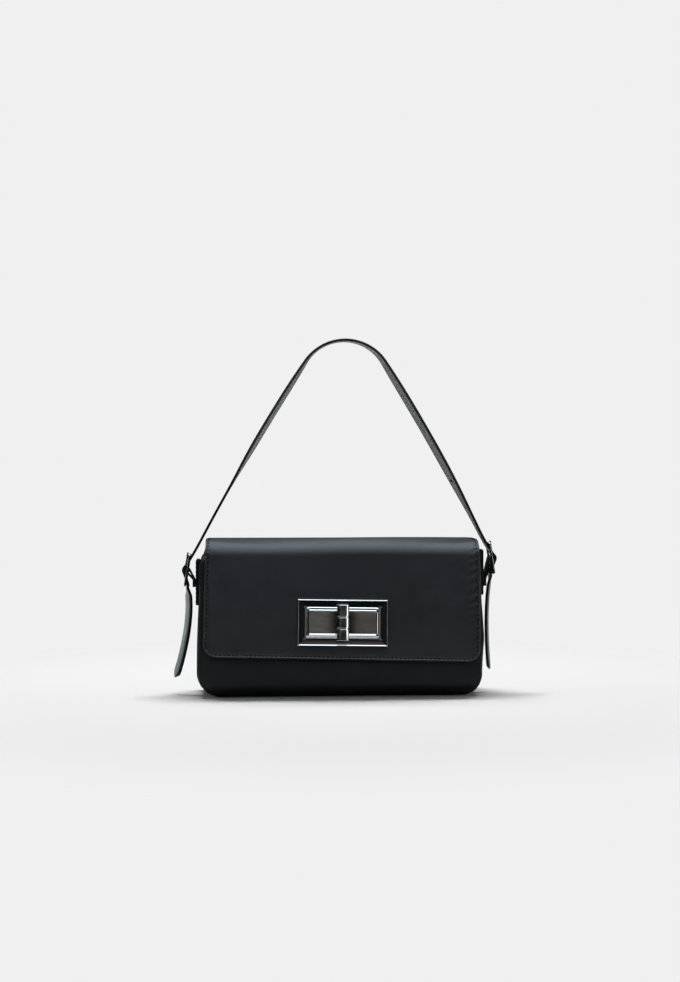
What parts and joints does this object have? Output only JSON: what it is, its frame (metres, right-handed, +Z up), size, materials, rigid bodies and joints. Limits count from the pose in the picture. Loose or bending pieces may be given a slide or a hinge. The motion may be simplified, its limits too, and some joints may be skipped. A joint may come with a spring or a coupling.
{
  "type": "baguette bag",
  "caption": "Slim black leather shoulder bag with a folded flap, a rectangular turn lock and a strap held by side buckles.",
  "frame": {"origin": "centre of the flat base, on the surface that the bag stands on", "axes": "+Z up; the flap and its lock face -Y; X runs along the bag's width, with +X on the right seen from the front"},
  "size_m": [0.2984, 0.0753, 0.328],
  "materials": {
    "body_leather": "smooth black leather, semi-matt",
    "strap_leather": "smooth black leather with painted edges",
    "lining_cloth": "plain woven lining",
    "polished_metal": "polished, nickel plated",
    "plain_steel": "plain pressed steel",
    "base_board": "plain stiffener board"
  },
  "bodies": {
    "bag": {"front_panel": "body_leather", "back_panel": "body_leather", "gusset_band": "body_leather", "base_board": "base_board", "lining": "lining_cloth", "slip_pocket": "lining_cloth", "side_tab_left": "body_leather", "side_tab_right": "body_leather", "keeper_plate": "plain_steel", "keeper_backing": "plain_steel", "keeper_rivets": "plain_steel"},
    "flap_top": {"flap_top": "body_leather", "flap_top_lining": "lining_cloth"},
    "flap_front": {"flap_front": "body_leather", "flap_front_lining": "lining_cloth", "lock_frame": "polished_metal", "lock_panel": "polished_metal", "lock_backing": "plain_steel", "lock_screws": "plain_steel", "detent_washer": "plain_steel"},
    "knob": {"turn_knob": "polished_metal", "knob_spindle": "plain_steel", "latch_bar": "plain_steel", "latch_screw": "plain_steel"},
    "strap": {"shoulder_strap": "strap_leather", "chape_left": "body_leather", "chape_right": "body_leather", "buckle_left": "polished_metal", "buckle_right": "polished_metal"},
    "tail_left": {"strap_tail_left": "strap_leather"},
    "tail_right": {"strap_tail_right": "strap_leather"},
    "prong_left": {"prong_left": "polished_metal"},
    "prong_right": {"prong_right": "polished_metal"}
  },
  "joints": [
    {"name": "flap_open", "type": "hinge", "parent": "bag", "child": "flap_top", "pos_m": [0, 0.02215, 0.14075], "axis": [-1, 0, 0], "range_deg": [0, 140]},
    {"name": "flap_unfold", "type": "hinge", "parent": "flap_top", "child": "flap_front", "pos_m": [0, -0.02257, 0.13904], "axis": [-1, 0, 0], "range_deg": [0, 84]},
    {"name": "strap_swing", "type": "hinge", "parent": "bag", "child": "strap", "pos_m": [0, 0, 0.105], "axis": [-1, 0, 0], "range_deg": [0, 105]},
    {"name": "knob_turn", "type": "hinge", "parent": "flap_front", "child": "knob", "pos_m": [0, -0.02772, 0.067], "axis": [0, 0.997, -0.0775], "range_deg": [0, 90]},
    {"name": "tail_left_lift", "type": "hinge", "parent": "strap", "child": "tail_left", "pos_m": [-0.14177, 0, 0.09851], "axis": [0, 1, 0], "range_deg": [0, 60]},
    {"name": "tail_right_lift", "type": "hinge", "parent": "strap", "child": "tail_right", "pos_m": [0.14177, 0, 0.10871], "axis": [0, -1, 0], "range_deg": [0, 60]},
    {"name": "prong_left_play", "type": "hinge", "parent": "strap", "child": "prong_left", "pos_m": [-0.1408, 0, 0.1142], "axis": [0, -1, 0], "range_deg": [0, 8]},
    {"name": "prong_right_play", "type": "hinge", "parent": "strap", "child": "prong_right", "pos_m": [0.1408, 0, 0.1244], "axis": [0, 1, 0], "range_deg": [0, 8]}
  ],
  "couplings": [
    {"joint": "flap_unfold", "follows": "flap_open", "ratio": 0.6},
    {"joint": "strap_swing", "follows": "flap_open", "ratio": 0.75}
  ]
}
